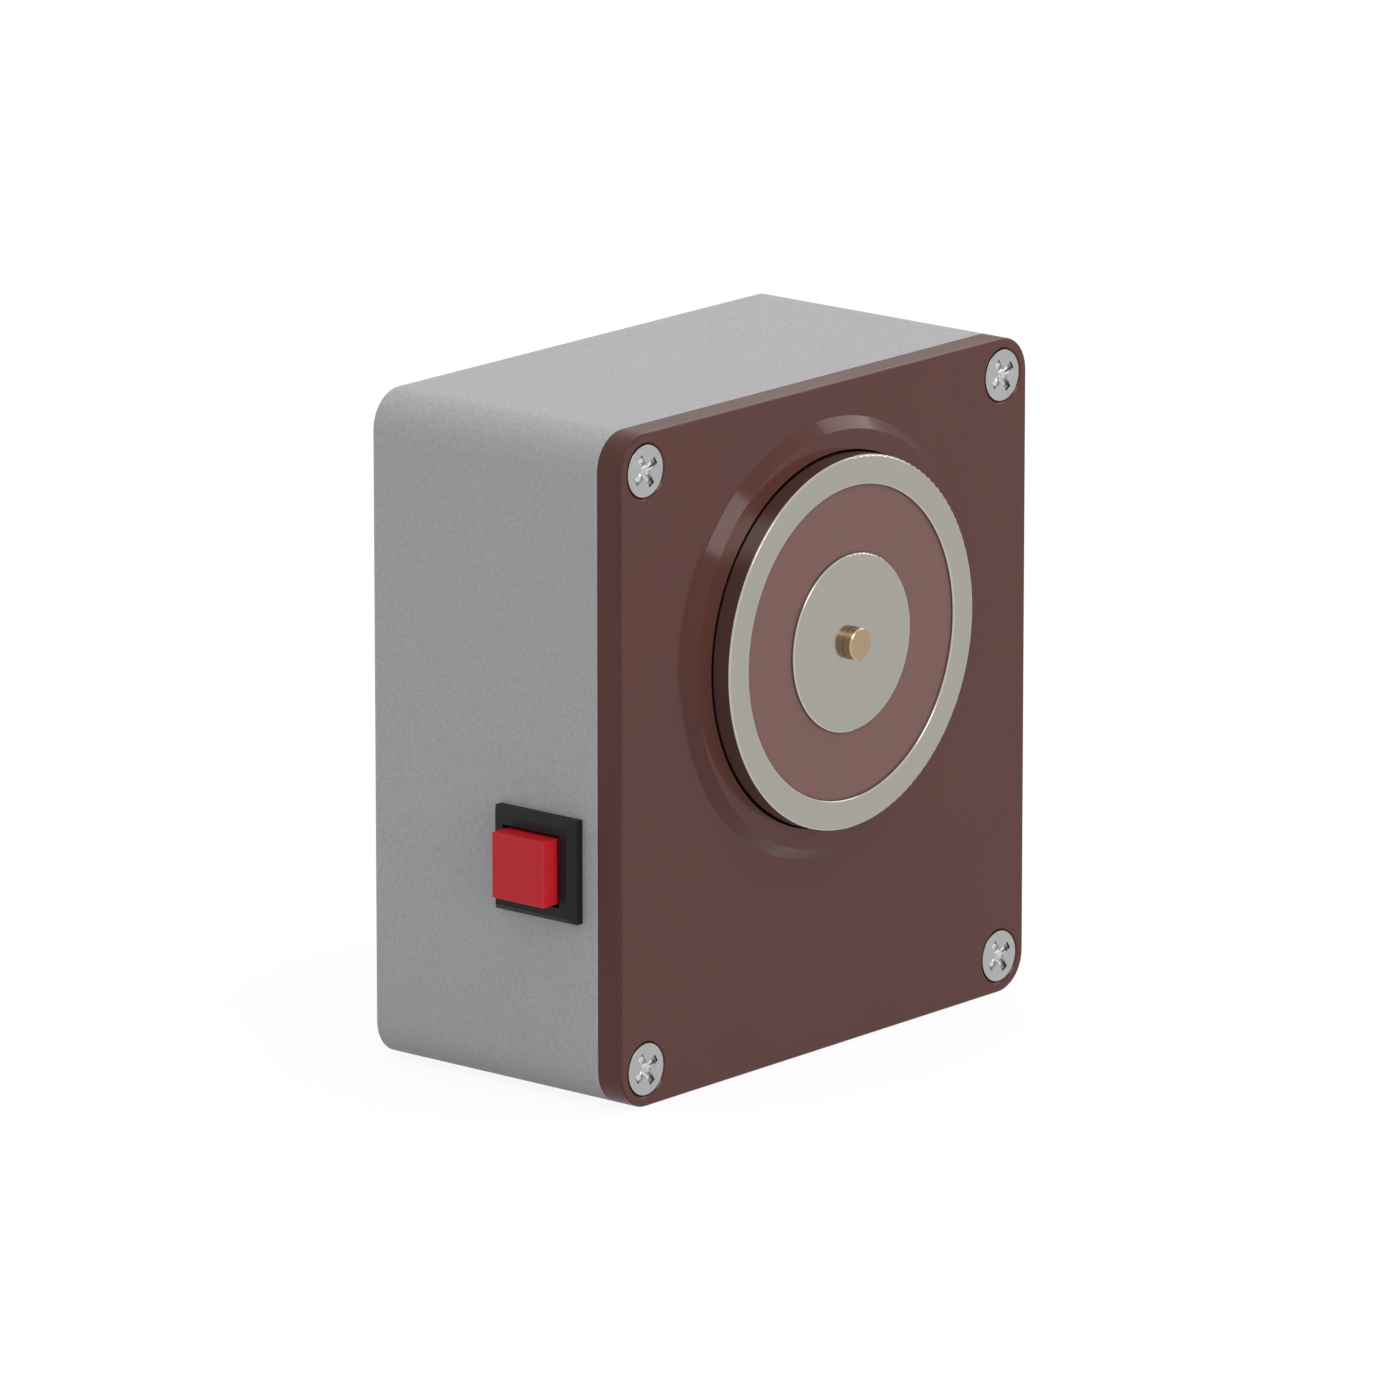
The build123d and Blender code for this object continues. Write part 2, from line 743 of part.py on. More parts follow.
def make_cable_grommet():
    """Rubber bush snapped into the back wall, with a tapered nose inside."""
    back = grommet_recess - grommet_flange_thickness
    waist = grommet_hole_radius - grommet_clearance
    lip_top = back_wall + grommet_lip_thickness
    nose_top = lip_top + grommet_nose_length
    body = disc(grommet_place, grommet_flange_radius, back, grommet_recess)
    body += disc(grommet_place, waist, back, lip_top)
    body += cone(grommet_place, grommet_lip_radius, waist, back_wall, lip_top)
    body += cone(grommet_place, waist, grommet_nose_radius, lip_top, nose_top)
    return body - disc(grommet_place, grommet_bore_radius, back, nose_top)


def make_switch_body():
    """Bezel with a bevelled face and the hollow body behind it, in one moulding."""
    body = side_block(bezel_size, bezel_size, 0, bezel_edge)
    face_size = bezel_size - 2 * bezel_bevel_run
    bevel_base = side_plane(bezel_edge) * Rectangle(bezel_size, bezel_size)
    bevel_face = side_plane(bezel_rise) * Rectangle(face_size, face_size)
    body += loft([bevel_base, bevel_face])
    body += side_block(switch_body_size, switch_body_size, switch_end_out, 0)
    body -= side_block(switch_window, switch_window, web_front_out, bezel_rise)
    body -= side_block(switch_window, switch_window, switch_end_out, web_back_out)
    body -= side_bar(stem_radius + web_hole_clearance, web_back_out, web_front_out)
    body -= side_block(end_pocket_size, end_pocket_size, switch_end_out, end_cover_front_out)
    slot_back = ear_back_out - button_travel - ear_clearance
    slot_width = ear_width + 2 * ear_clearance
    body -= side_block(slot_width, switch_body_size, slot_back, cap_back_out)
    for side in (-1, 1):
        body += snap_lug(side)
    return body


def snap_lug(side):
    """Wedge behind the housing wall that holds the body in its cut-out."""
    root = side * switch_body_size / 2
    tip = root + side * lug_rise
    catch = -side_wall - switch_cutout_clearance
    points = [(root, catch), (tip, catch - lug_catch_slope), (root, catch - lug_length)]
    above = side_plane(0).origin + Vector(0, 0, lug_width / 2)
    plane = Plane(origin=above, x_dir=(0, -1, 0), z_dir=(0, 0, -1))
    return extrude(plane * make_face(Polyline(*points, close=True)), lug_width)


def make_button_cap():
    cap = side_block(cap_size, cap_size, cap_back_out, cap_front_out)
    front = cap.faces().sort_by(Axis.X)[0].edges()
    cap = fillet(front + cap.edges().filter_by(Axis.X), cap_edge_round)
    pocket_end = cap_back_out + cap_pocket_depth
    return cap - side_block(cap_pocket_size, cap_pocket_size, cap_back_out, pocket_end)


def make_switch_plunger():
    """Slider with its boss in the cap, two ears in the body's slots and a stem to the contacts."""
    slider = side_block(plunger_size, plunger_size, plunger_back_out, cap_back_out)
    boss = cap_pocket_size - 2 * plunger_fit
    slider += side_block(boss, boss, cap_back_out, cap_back_out + cap_pocket_depth)
    ear_span = switch_window + 2 * ear_reach
    slider += side_block(ear_width, ear_span, ear_back_out, cap_back_out - ear_clearance)
    slider += side_bar(stem_radius, bridge_front_out, plunger_back_out)
    slider += side_bar(stake_radius, bridge_back_out, bridge_front_out)
    head_back = bridge_back_out - stake_head_thickness
    return slider + side_bar(stake_head_radius, head_back, bridge_back_out)


def make_return_spring():
    length = plunger_back_out - web_front_out
    base = side_plane(web_front_out)
    return coil_spring(base, return_coil_radius, return_wire_radius, return_coil_turns, length)


def make_contact_bridge():
    bridge = side_block(bridge_length, bridge_width, bridge_back_out, bridge_front_out)
    return bridge - side_bar(stake_radius + plunger_fit, bridge_back_out, bridge_front_out)


def fixed_contact(side):
    """Fixed contact: a foot on the web and a leg that leaves through the end cover."""
    foot_size = contact_outer - contact_offset
    foot_middle = side * (contact_outer + contact_offset) / 2
    foot = side_block(foot_size, contact_width, contact_back_out, web_back_out, foot_middle)
    leg_middle = side * contact_leg_middle
    leg = side_block(contact_thickness, contact_width, tag_end_out, web_back_out, leg_middle)
    return foot + leg


def make_switch_end_cover():
    size = end_pocket_size - 2 * end_cover_clearance
    cover = side_block(size, size, switch_end_out, end_cover_front_out)
    slot = contact_thickness + 2 * end_cover_clearance
    tall = contact_width + 2 * end_cover_clearance
    for side in (-1, 1):
        middle = side * contact_leg_middle
        cover -= side_block(slot, tall, switch_end_out, end_cover_front_out, middle)
    return cover


def lead(name, points):
    """Insulated lead: straight runs joined by arcs as large as the runs allow."""
    corners = [Vector(*point) for point in points]
    runs = [after - before for before, after in zip(corners, corners[1:])]
    radii = []
    for run, next_run in zip(runs, runs[1:]):
        turn = radians(run.get_angle(next_run))
        shorter = min(run.length, next_run.length)
        radii.append(lead_arc_share * shorter / tan(turn / 2))
    print(name, "arc radii", [round(radius, 1) for radius in radii])
    path = FilletPolyline(*corners, radius=radii)
    start = Plane(origin=path @ 0, z_dir=path % 0)
    return sweep(start * Circle(lead_radius), path=path)


def coil_lead_route(place, pad):
    """From the winding, out of the magnet's back, down through the notch and into the board."""
    x, z = place
    pad_x, pad_z = pad
    bend_stand = pot_back_stand - coil_lead_bend_room
    middle_x = x + (pad_x - x) * coil_lead_share_x
    middle_z = z + (pad_z - z) * coil_lead_share_z
    return [
        (x, -(groove_stand + bobbin_flange), z),
        (x, -bend_stand, z),
        (middle_x, -(bend_stand + coil_lead_rise), middle_z),
        (pad_x, -(board_front + coil_lead_drop), pad_z),
        (pad_x, -board_stand, pad_z),
    ]


def switch_lead_route(side, pad):
    """From one of the button's tags, down behind the cover and into the board."""
    start_x = case_left - tag_end_out
    start_stand = switch_stand + side * contact_leg_middle
    pad_x, pad_z = pad
    turn_stand = board_front + switch_lead_drop
    middle_stand = turn_stand + switch_lead_share * (start_stand - turn_stand)
    bend_x = start_x + switch_lead_run
    return [
        (start_x, -start_stand, switch_z),
        (bend_x, -start_stand, switch_z),
        (bend_x + switch_lead_step, -middle_stand, switch_z - switch_lead_fall),
        (pad_x, -turn_stand, pad_z),
        (pad_x, -board_stand, pad_z),
    ]


def build_parts():
    return {
        "housing": make_housing(),
        "front_plate": make_front_plate(),
        "cover_screws": together(countersunk_screw(place) for place in cover_screw_places),
        "magnet_body": make_magnet_body(),
        "coil_bobbin": make_coil_bobbin(),
        "coil_winding": make_coil_winding(),
        "potting_resin": make_potting_resin(),
        "ejector_pin": make_ejector_pin(),
        "ejector_spring": make_ejector_spring(),
        "spring_plug": make_spring_plug(),
        "carrier_plate": make_carrier_plate(),
        "carrier_screws": make_carrier_screws(),
        "carrier_washers": make_carrier_washers(),
        "magnet_screws": together(cap_screw(place) for place in magnet_screw_places),
        "magnet_washers": make_magnet_washers(),
        "circuit_board": make_circuit_board(),
        "board_screws": make_board_screws(),
        "terminal_body": make_terminal_body(),
        "terminal_clamps": together(terminal_clamp(place) for place in terminal_places),
        "terminal_screws": together(terminal_screw(place) for place in terminal_places),
        "suppression_diode": make_suppression_diode(),
        "cable_grommet": make_cable_grommet(),
        "switch_body": make_switch_body(),
        "button_cap": make_button_cap(),
        "switch_plunger": make_switch_plunger(),
        "return_spring": make_return_spring(),
        "contact_bridge": make_contact_bridge(),
        "fixed_contacts": together(fixed_contact(side) for side in (-1, 1)),
        "switch_end_cover": make_switch_end_cover(),
        "coil_lead_one": lead("coil lead one", coil_lead_route(coil_lead_places[0], coil_pads[0])),
        "coil_lead_two": lead("coil lead two", coil_lead_route(coil_lead_places[1], coil_pads[1])),
        "switch_lead_one": lead("switch lead one", switch_lead_route(1, switch_pads[0])),
        "switch_lead_two": lead("switch lead two", switch_lead_route(-1, switch_pads[1])),
    }


if __name__ == "__main__":
    os.makedirs("parts", exist_ok=True)
    for node, shape in build_parts().items():
        export_step(shape, f"parts/{node}.step")
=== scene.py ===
"""Looks of the electromagnetic door holder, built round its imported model.

Metres, in the model's frame: X to the right, Z up, Y into the wall, the origin in the
middle of the housing's back face. A "stand" is a distance out from the wall. The finishes
give the sizes of their grain, streaks and specks in millimetres.
"""

import math

import bmesh
import bpy
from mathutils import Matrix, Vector


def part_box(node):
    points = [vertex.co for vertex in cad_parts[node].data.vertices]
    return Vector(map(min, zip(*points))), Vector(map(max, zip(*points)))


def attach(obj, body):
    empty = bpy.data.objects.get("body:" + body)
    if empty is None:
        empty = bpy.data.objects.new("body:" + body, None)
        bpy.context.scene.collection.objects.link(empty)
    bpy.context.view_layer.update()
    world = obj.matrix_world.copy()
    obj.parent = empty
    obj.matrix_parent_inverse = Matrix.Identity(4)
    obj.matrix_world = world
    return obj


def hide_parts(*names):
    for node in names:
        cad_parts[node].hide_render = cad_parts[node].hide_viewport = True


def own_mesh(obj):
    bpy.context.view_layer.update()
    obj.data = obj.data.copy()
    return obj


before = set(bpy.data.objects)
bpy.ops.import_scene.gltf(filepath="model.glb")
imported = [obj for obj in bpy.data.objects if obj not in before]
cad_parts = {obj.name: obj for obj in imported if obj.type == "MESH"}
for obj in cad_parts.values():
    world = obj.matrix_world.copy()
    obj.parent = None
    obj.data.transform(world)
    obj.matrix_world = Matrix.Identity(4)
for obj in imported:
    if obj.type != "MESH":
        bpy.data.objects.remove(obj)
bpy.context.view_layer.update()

MM = 0.001
MM_PER_METRE = 1000.0
WHITE = (1.0, 1.0, 1.0, 1.0)

# Sockets of the mix node in its colour form: share, low and high colour, and the result
MIX_INPUTS = (0, 6, 7)
MIX_RESULT = 2


# Sizes of the model that its boxes don't give
pole_proud = 5.35 * MM
core_radius = 14.4 * MM

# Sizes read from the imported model
case_low, case_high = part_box("housing")
plate_low, plate_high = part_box("front_plate")
screw_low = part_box("cover_screws")[0]
pot_low, pot_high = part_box("magnet_body")
resin_low, resin_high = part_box("potting_resin")
winding_low, winding_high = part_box("coil_winding")
pin_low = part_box("ejector_pin")[0]
bezel_low, bezel_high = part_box("switch_body")
cap_low, cap_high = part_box("button_cap")
pot_centre = (pot_low + pot_high) / 2
pole_stand = -pot_low.y
plate_stand = pole_stand - pole_proud
pin_stand = -pin_low.y
resin_radius = (resin_high.x - resin_low.x) / 2


def corner_screw_centre():
    """Axis of the cover screw at the upper right; the others mirror it."""
    marks = [corner.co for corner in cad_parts["cover_screws"].data.vertices]
    near = [mark for mark in marks if mark.x > 0 and mark.z > 0]
    return Vector((
        (min(mark.x for mark in near) + max(mark.x for mark in near)) / 2,
        0.0,
        (min(mark.z for mark in near) + max(mark.z for mark in near)) / 2,
    ))


screw_centre = corner_screw_centre()


# View of the photograph
view_turn = math.radians(-49.828)
view_rise = math.radians(14.199)
view_distance = 2.03857
view_aim = Vector((-0.030856, -plate_stand, 0.009032))
view_lens = 336.8
view_sensor = 36.0
view_far_end = 50.0


class Shading:
    """Short ways to put shader nodes into one tree."""

    def __init__(self, tree):
        self.tree = tree

    def put(self, kind, values=None, **settings):
        """One node, with its settings and the values or links of its inputs."""
        node = self.tree.nodes.new(kind)
        for name, value in settings.items():
            setattr(node, name, value)
        for name, value in (values or {}).items():
            self.feed(node.inputs[name], value)
        return node

    def feed(self, socket, value):
        """A link where the value is another node's output, and else a plain value."""
        if isinstance(value, bpy.types.NodeSocket):
            self.tree.links.new(value, socket)
        else:
            socket.default_value = value

    def maths(self, operation, *values):
        node = self.put("ShaderNodeMath", operation=operation)
        for socket, value in zip(node.inputs, values):
            self.feed(socket, value)
        return node.outputs[0]

    def times(self, first, second):
        return self.maths("MULTIPLY", first, second)

    def minus(self, first, second):
        return self.maths("SUBTRACT", first, second)

    def plus(self, first, *others):
        total = first
        for value in others:
            total = self.maths("ADD", total, value)
        return total

    def weighed(self, first, first_share, second, second_share):
        """The sum of two values, each by its own share."""
        return self.plus(self.times(first, first_share), self.times(second, second_share))

    def vector(self, operation, *values, output="Vector"):
        node = self.put("ShaderNodeVectorMath", operation=operation)
        for socket, value in zip(node.inputs, values):
            self.feed(socket, value)
        return node.outputs[output]

    def parts(self, vector):
        """The X, Y and Z of a vector."""
        return self.put("ShaderNodeSeparateXYZ", {"Vector": vector}).outputs

    def blend(self, share, low, high):
        """A colour between two, by a share from 0 to 1."""
        node = self.put("ShaderNodeMix", data_type="RGBA")
        for place, value in zip(MIX_INPUTS, (share, rgba(low), rgba(high))):
            self.feed(node.inputs[place], value)
        return node.outputs[MIX_RESULT]

    def cover(self, body, mask, share, colour):
        """The body's colour with another laid over it, by a share of a mask."""
        return self.blend(self.times(mask, share), body, colour)

    def between(self, value, low, high, start=0.0, end=1.0, smooth=False):
        """The value moved from the range low to high into start to end, and kept inside it."""
        kind = "SMOOTHSTEP" if smooth else "LINEAR"
        node = self.put("ShaderNodeMapRange", interpolation_type=kind, clamp=True)
        for place, number in enumerate((value, low, high, start, end)):
            self.feed(node.inputs[place], number)
        return node.outputs[0]

    def noise(self, place, scale, detail, rough):
        """Noise in space."""
        values = {"Vector": place, "Scale": scale, "Detail": detail, "Roughness": rough}
        return self.put("ShaderNodeTexNoise", values).outputs[0]

    def line_noise(self, length, scale, detail, rough=0.5):
        """Noise that changes with one length only."""
        values = {"W": length, "Scale": scale, "Detail": detail, "Roughness": rough}
        return self.put("ShaderNodeTexNoise", values, noise_dimensions="1D").outputs[0]

    def scale_for(self, size):
        """The scale of a texture whose features have a size in millimetres."""
        return self.maths("DIVIDE", MM_PER_METRE, size)

    def place(self):
        """Where the point is on the object, in metres."""
        return self.put("ShaderNodeTexCoord").outputs["Object"]

    def normal(self):
        """The X, Y and Z of the way that the surface faces."""
        return self.parts(self.put("ShaderNodeNewGeometry").outputs["Normal"])

    def from_axis(self, centre):
        """How far the point is from an axis along Y through a centre."""
        off = self.vector("SUBTRACT", self.place(), centre)
        flat = self.vector("MULTIPLY", off, (1.0, 0.0, 1.0))
        return self.vector("LENGTH", flat, output="Value")

    def effect(self, group, **values):
        """One of the shared effects, with its own values."""
        node = self.tree.nodes.new("ShaderNodeGroup")
        node.node_tree = group
        for name, value in values.items():
            self.feed(node.inputs[name.replace("_", " ")], value)
        return node.outputs


def rgba(colour):
    """A plain colour with its alpha; another node's output stays as it is."""
    return (*colour, 1.0) if isinstance(colour, tuple) else colour


def tone(colour, share):
    """A darker or lighter tone of a colour."""
    return tuple(min(1.0, part * share) for part in colour)


def new_effect(name, inputs, outputs):
    """An empty node group with named inputs and outputs."""
    group = bpy.data.node_groups.new(name, "ShaderNodeTree")
    for label, value in inputs.items():
        kind = "NodeSocketVector" if isinstance(value, tuple) else "NodeSocketFloat"
        group.interface.new_socket(name=label, in_out="INPUT", socket_type=kind).default_value = value
    for label in outputs:
        group.interface.new_socket(name=label, in_out="OUTPUT", socket_type="NodeSocketFloat")
    shade = Shading(group)
    return group, shade, shade.put("NodeGroupInput").outputs, shade.put("NodeGroupOutput").inputs


def make_fine_grain():
    """Small even grain: a value for colour and roughness, and a height for the bump."""
    inputs = {"Grain Size": 0.4, "Contrast": 0.5}
    group, shade, given, out = new_effect("fine grain", inputs, ["Value", "Height"])
    middle = 0.5
    most_contrast = 0.35
    grain = shade.noise(shade.place(), shade.scale_for(given["Grain Size"]), detail=2.5, rough=0.62)
    lowest = shade.minus(middle, shade.times(given["Contrast"], most_contrast))
    highest = shade.minus(2 * middle, lowest)
    shade.feed(out["Value"], shade.between(grain, lowest, highest))
    shade.feed(out["Height"], grain)
    return group


def make_slow_drift():
    """Broad soft change of tone, as in a batch of paint or plating."""
    inputs = {"Patch Size": 20.0, "Seed": 0.0}
    group, shade, given, out = new_effect("slow drift", inputs, ["Value"])
    apart = shade.put("ShaderNodeCombineXYZ", {"X": given["Seed"], "Y": 0.0, "Z": given["Seed"]})
    place = shade.vector("ADD", shade.place(), apart.outputs[0])
    drift = shade.noise(place, shade.scale_for(given["Patch Size"]), detail=3.0, rough=0.55)
    shade.feed(out["Value"], shade.between(drift, low=0.3, high=0.7, smooth=True))
    return group


def make_turned_marks():
    """Fine rings left by a lathe tool round an axis along Y."""
    inputs = {"Centre": (0.0, 0.0, 0.0), "Pitch": 0.15}
    group, shade, given, out = new_effect("turned marks", inputs, ["Value", "Height"])
    pitches = shade.times(shade.from_axis(given["Centre"]), shade.scale_for(given["Pitch"]))
    rings = shade.line_noise(pitches, scale=1.0, detail=1.0)
    broad = shade.line_noise(pitches, scale=0.07, detail=2.0)
    both = shade.weighed(rings, 0.6, broad, 0.4)
    shade.feed(out["Value"], shade.between(both, low=0.3, high=0.7))
    shade.feed(out["Height"], rings)
    return group


def make_drawn_streaks():
    """Long thin streaks left by drawing, rolling or grinding along one direction."""
    inputs = {"Stretch": (1.0, 1.0, 0.04), "Streak Width": 0.3}
    group, shade, given, out = new_effect("drawn streaks", inputs, ["Value", "Height"])
    place = shade.vector("MULTIPLY", shade.place(), given["Stretch"])
    streaks = shade.noise(place, shade.scale_for(given["Streak Width"]), detail=3.0, rough=0.6)
    shade.feed(out["Value"], shade.between(streaks, low=0.32, high=0.68))
    shade.feed(out["Height"], streaks)
    return group


def make_edge_rub():
    """Rubbed edges of a boxy form: one at its edges, broken up, and nothing on its faces."""
    inputs = {"Low Corner": (0.0, 0.0, 0.0), "High Corner": (0.0, 0.0, 0.0), "Width": 0.8}
    group, shade, given, out = new_effect("edge rub", inputs, ["Mask"])
    place = shade.place()
    below = shade.vector("SUBTRACT", place, given["Low Corner"])
    above = shade.vector("SUBTRACT", given["High Corner"], place)
    near = shade.parts(shade.vector("MINIMUM", below, above))
    low = shade.maths("MINIMUM", near[0], near[1])
    high = shade.maths("MAXIMUM", near[0], near[1])
    second_nearest = shade.maths("MAXIMUM", low, shade.maths("MINIMUM", high, near[2]))
    width = shade.times(given["Width"], MM)
    edge = shade.between(second_nearest, 0.0, width, start=1.0, end=0.0, smooth=True)
    blotches = shade.noise(place, scale=260.0, detail=4.0, rough=0.65)
    broken = shade.between(blotches, low=0.42, high=0.62)
    shade.feed(out["Mask"], shade.times(edge, broken))
    return group


def make_dust():
    """A few small specks of dust, each in a cell of its own."""
    inputs = {"Spacing": 6.0, "Share": 0.3, "Speck Size": 0.12}
    group, shade, given, out = new_effect("dust", inputs, ["Mask"])
    values = {"Vector": shade.place(), "Scale": shade.scale_for(given["Spacing"])}
    cells = shade.put("ShaderNodeTexVoronoi", values).outputs
    size = shade.maths("DIVIDE", given["Speck Size"], given["Spacing"])
    half_size = shade.times(size, 0.5)
    speck = shade.between(cells["Distance"], half_size, size, start=1.0, end=0.0)
    draw = shade.put("ShaderNodeSeparateColor", {"Color": cells["Color"]}).outputs[0]
    chosen = shade.maths("LESS_THAN", draw, given["Share"])
    shade.feed(out["Mask"], shade.times(speck, chosen))
    return group


fine_grain = make_fine_grain()
slow_drift = make_slow_drift()
turned_marks = make_turned_marks()
drawn_streaks = make_drawn_streaks()
edge_rub = make_edge_rub()
dust = make_dust()


def new_finish(name, **values):
    """A material with its shader; returns it with its tree and the shader's inputs."""
    material = bpy.data.materials.new(name)
    material.use_nodes = True
    material.node_tree.nodes.clear()
    shade = Shading(material.node_tree)
    named = {key.replace("_", " "): value for key, value in values.items()}
    shader = shade.put("ShaderNodeBsdfPrincipled", named)
    shade.put("ShaderNodeOutputMaterial", {"Surface": shader.outputs[0]})
    return material, shade, shader.inputs


def bump(shade, inputs, height, depth):
    """Bump from a height; depth is what a height of one stands for, in millimetres."""
    node = shade.put("ShaderNodeBump", {"Strength": 1.0, "Distance": depth * MM, "Height": height})
    shade.feed(inputs["Normal"], node.outputs[0])


def rubbed_edges(shade, low, high, width):
    """Mask of the rubbed edges of the box from low to high."""
    return shade.effect(edge_rub, Low_Corner=tuple(low), High_Corner=tuple(high), Width=width)["Mask"]


def powder_coat(name, colour, low, high):
    """Fine speckled powder coat: a little rubbed at its outer edges, dustier where it faces up."""
    material, shade, inputs = new_finish(name, IOR=1.45)
    fine = shade.effect(fine_grain, Grain_Size=0.45, Contrast=0.55)
    coarse = shade.effect(fine_grain, Grain_Size=1.3, Contrast=0.5)
    patches = shade.effect(slow_drift, Patch_Size=32.0)
    specks = shade.effect(dust, Spacing=3.2, Share=0.25, Speck_Size=0.16)
    rub = rubbed_edges(shade, low, high, width=0.7)
    grain = shade.weighed(fine["Value"], 0.88, coarse["Value"], 0.12)
    upward = shade.between(shade.normal()[2], low=0.6, high=0.9, smooth=True)
    clean = shade.blend(grain, tone(colour, 0.87), tone(colour, 1.13))
    dusty = shade.blend(grain, tone(colour, 0.8), tone(colour, 1.2))
    body = shade.blend(upward, clean, dusty)
    body = shade.cover(body, patches["Value"], 0.25, tone(colour, 0.96))
    body = shade.cover(body, specks["Mask"], 0.4, tone(colour, 0.7))
    body = shade.cover(body, rub, 0.45, tone(colour, 1.25))
    shade.feed(inputs["Base Color"], body)
    shade.feed(inputs["Roughness"], shade.between(grain, 0.0, 1.0, start=0.52, end=0.64))
    height = shade.weighed(fine["Height"], 0.6, coarse["Height"], 0.3)
    bump(shade, inputs, height, depth=0.04)
    return material


# The front plate's rounded edge: how far behind its face the gloss ends
gloss_end = 0.3 * MM
satin_start = 0.6 * MM


def gloss_moulding(name, colour, low, high):
    """Glossy moulded plastic: faint ripples, a little dust, and satin sides behind its face."""
    material, shade, inputs = new_finish(name, IOR=1.36)
    patches = shade.effect(slow_drift, Patch_Size=26.0, Seed=3.0)
    ripple = shade.effect(fine_grain, Grain_Size=7.0, Contrast=0.5)
    pores = shade.effect(fine_grain, Grain_Size=0.35, Contrast=0.6)
    specks = shade.effect(dust, Spacing=7.0, Share=0.2, Speck_Size=0.14)
    rub = rubbed_edges(shade, low, high, width=0.5)
    body = shade.blend(patches["Value"], tone(colour, 0.96), tone(colour, 1.04))
    body = shade.cover(body, pores["Value"], 0.3, tone(colour, 1.08))
    body = shade.cover(body, specks["Mask"], 0.35, tone(colour, 1.7))
    body = shade.cover(body, rub, 0.4, tone(colour, 1.6))
    shade.feed(inputs["Base Color"], body)
    polish = 0.1
    smear = shade.weighed(patches["Value"], 0.04, rub, 0.12)
    depth_in = shade.parts(shade.place())[1]
    sides = shade.between(depth_in, gloss_end - plate_stand, satin_start - plate_stand)
    shade.feed(inputs["Roughness"], shade.plus(smear, shade.times(sides, 0.28), polish))
    height = shade.plus(ripple["Height"], shade.times(pores["Height"], 0.12))
    bump(shade, inputs, height, depth=0.008)
    return material


def matt_moulding(name, colour, rough, grain=0.4):
    """Satin moulded plastic, rubber or nylon with a fine eroded grain."""
    material, shade, inputs = new_finish(name, IOR=1.45)
    fine = shade.effect(fine_grain, Grain_Size=grain, Contrast=0.55)
    patches = shade.effect(slow_drift, Patch_Size=9.0, Seed=5.0)
    body = shade.blend(fine["Value"], tone(colour, 0.92), tone(colour, 1.08))
    body = shade.cover(body, patches["Value"], 0.3, tone(colour, 0.92))
    shade.feed(inputs["Base Color"], body)
    shade.feed(inputs["Roughness"], shade.between(fine["Value"], 0.0, 1.0, rough - 0.05, rough + 0.06))
    bump(shade, inputs, fine["Height"], depth=0.012)
    return material


def worn_moulding(name, colour, low, high, rough, ior):
    """Satin moulding whose outer edges are rubbed lighter by fingers."""
    material, shade, inputs = new_finish(name, IOR=ior)
    fine = shade.effect(fine_grain, Grain_Size=0.3, Contrast=0.5)
    patches = shade.effect(slow_drift, Patch_Size=6.0, Seed=1.0)
    rub = rubbed_edges(shade, low, high, width=0.45)
    body = shade.blend(fine["Value"], tone(colour, 0.95), tone(colour, 1.05))
    body = shade.cover(body, patches["Value"], 0.3, tone(colour, 0.93))
    body = shade.cover(body, rub, 0.35, tone(colour, 1.5))
    shade.feed(inputs["Base Color"], body)
    worn = shade.minus(rough, shade.times(rub, 0.12))
    shade.feed(inputs["Roughness"], shade.plus(worn, shade.times(fine["Value"], 0.08)))
    bump(shade, inputs, fine["Height"], depth=0.008)
    return material


def plated_steel(name, colour, rough=0.3, stretch=(1.0, 1.0, 0.06), width=0.25):
    """Metal drawn or rolled and mostly plated: streaks, dull patches and small pits."""
    material, shade, inputs = new_finish(name, Metallic=1.0)
    streaks = shade.effect(drawn_streaks, Stretch=stretch, Streak_Width=width)
    patches = shade.effect(slow_drift, Patch_Size=5.0, Seed=2.0)
    pits = shade.effect(dust, Spacing=1.4, Share=0.25, Speck_Size=0.09)
    body = shade.blend(streaks["Value"], tone(colour, 0.9), tone(colour, 1.08))
    body = shade.cover(body, patches["Value"], 0.5, tone(colour, 0.88))
    body = shade.cover(body, pits["Mask"], 0.5, tone(colour, 0.5))
    shade.feed(inputs["Base Color"], body)
    uneven = shade.weighed(patches["Value"], 0.12, streaks["Value"], 0.1)
    shade.feed(inputs["Roughness"], shade.plus(uneven, rough - 0.1))
    bump(shade, inputs, streaks["Height"], depth=0.004)
    return material


# The cover screws' cross: where painted light goes inside it and painted shade at the ends of its wings
punch_edge = 0.3 * MM
punch_deep = 0.45 * MM
punch_inner_radius = 2.0 * MM
punch_outer_radius = 2.2 * MM
tip_edge = 0.03 * MM
tip_deep = 0.08 * MM
tip_inner_radius = 2.15 * MM
tip_outer_radius = 2.3 * MM
cross_painted_light = (0.8, 0.8, 0.8)


